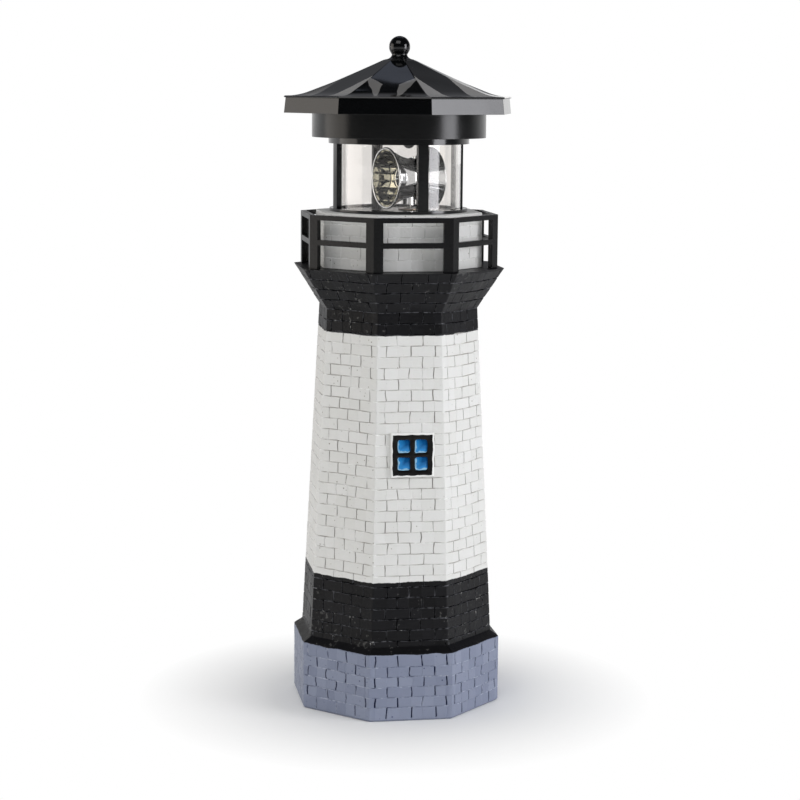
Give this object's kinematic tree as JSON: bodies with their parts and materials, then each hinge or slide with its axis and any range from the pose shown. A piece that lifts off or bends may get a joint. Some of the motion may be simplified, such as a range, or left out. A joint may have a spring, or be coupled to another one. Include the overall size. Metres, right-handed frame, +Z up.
{
  "type": "garden lighthouse ornament",
  "caption": "Free-standing solar garden lighthouse: hollow octagonal brick tower with a gallery railing and a lift-out lamp whose twin reflector turns inside a clear tube.",
  "frame": {"origin": "centre of the plinth's underside", "axes": "+Z up along the tower's axis; the window is on the -Y face"},
  "size_m": [0.0974, 0.0974, 0.28],
  "materials": {
    "resin_paint": "painted cast resin, satin, brick relief",
    "satin_black": "satin black moulded plastic",
    "gloss_black": "glossy black moulded ABS",
    "smoked_cover": "glossy smoked moulded acrylic",
    "clear_plastic": "clear extruded acrylic tube",
    "chrome": "vacuum-metallised plastic, mirror bright",
    "steel": "zinc-plated steel",
    "brass": "turned brass",
    "nylon": "natural nylon",
    "solar_cell": "blue silicon cell under epoxy",
    "circuit_board": "green solder mask",
    "led_epoxy": "clear epoxy",
    "rubber": "black silicone rubber",
    "cell_sleeve": "green shrink sleeve",
    "red_wire": "red PVC insulation",
    "black_wire": "black PVC insulation",
    "grey_plastic": "grey moulded plastic"
  },
  "bodies": {
    "tower": {"tower_casting": "resin_paint", "gallery_railing": "satin_black"},
    "lantern": {"finial_ball": "satin_black", "roof_cover": "smoked_cover", "solar_panel": "solar_cell", "eave_frame": "gloss_black", "cap_housing": "gloss_black", "cap_screws": "steel", "cage_screws": "steel", "led_board": "circuit_board", "led_lamp": "led_epoxy", "tube_gasket": "rubber", "clear_tube": "clear_plastic", "lamp_body": "gloss_black", "motor_deck": "satin_black", "deck_screws": "steel", "bracket_screws": "steel", "spindle_bush": "brass", "gear_bracket": "nylon", "idler_pin": "steel", "drive_motor": "steel", "motor_screws": "steel", "control_board": "circuit_board", "switch_body": "grey_plastic", "base_cover": "gloss_black", "cover_screws": "steel", "battery_cell": "cell_sleeve", "battery_spring": "steel", "battery_contact": "steel", "panel_lead": "red_wire", "lamp_lead": "red_wire", "motor_lead": "red_wire", "battery_leads": "black_wire"},
    "rotor": {"spindle": "chrome", "spindle_gear": "nylon", "rotor_hub": "chrome", "reflector_front": "chrome", "reflector_rear": "chrome"},
    "idler": {"idler_gear": "nylon"},
    "motor_rotor": {"motor_pinion": "brass"},
    "switch_slider": {"switch_knob": "satin_black"},
    "battery_hatch": {"battery_door": "satin_black", "door_screw": "steel"}
  },
  "joints": [
    {"name": "lamp_lift", "type": "slide", "parent": "tower", "child": "lantern", "axis": [0, 0, 1], "range_m": [0, 0.045]},
    {"name": "rotor_spin", "type": "hinge", "parent": "lantern", "child": "rotor", "pos_m": [0.0042, 0, 0.208], "axis": [0, 0, 1], "continuous": true},
    {"name": "idler_spin", "type": "hinge", "parent": "lantern", "child": "idler", "pos_m": [-0.00188, 0.00868, 0.203], "axis": [0, 0, 1], "continuous": true},
    {"name": "motor_spin", "type": "hinge", "parent": "lantern", "child": "motor_rotor", "pos_m": [-0.01184, 0.00506, 0.203], "axis": [0, 0, 1], "continuous": true},
    {"name": "switch_slide", "type": "slide", "parent": "lantern", "child": "switch_slider", "axis": [1, 0, 0], "range_m": [0, 0.0024]},
    {"name": "battery_door_off", "type": "slide", "parent": "lantern", "child": "battery_hatch", "axis": [0, 0, -1], "range_m": [0, 0.015]}
  ],
  "couplings": [
    {"joint": "idler_spin", "follows": "rotor_spin", "ratio": -3.2},
    {"joint": "motor_spin", "follows": "rotor_spin", "ratio": 10.24}
  ]
}
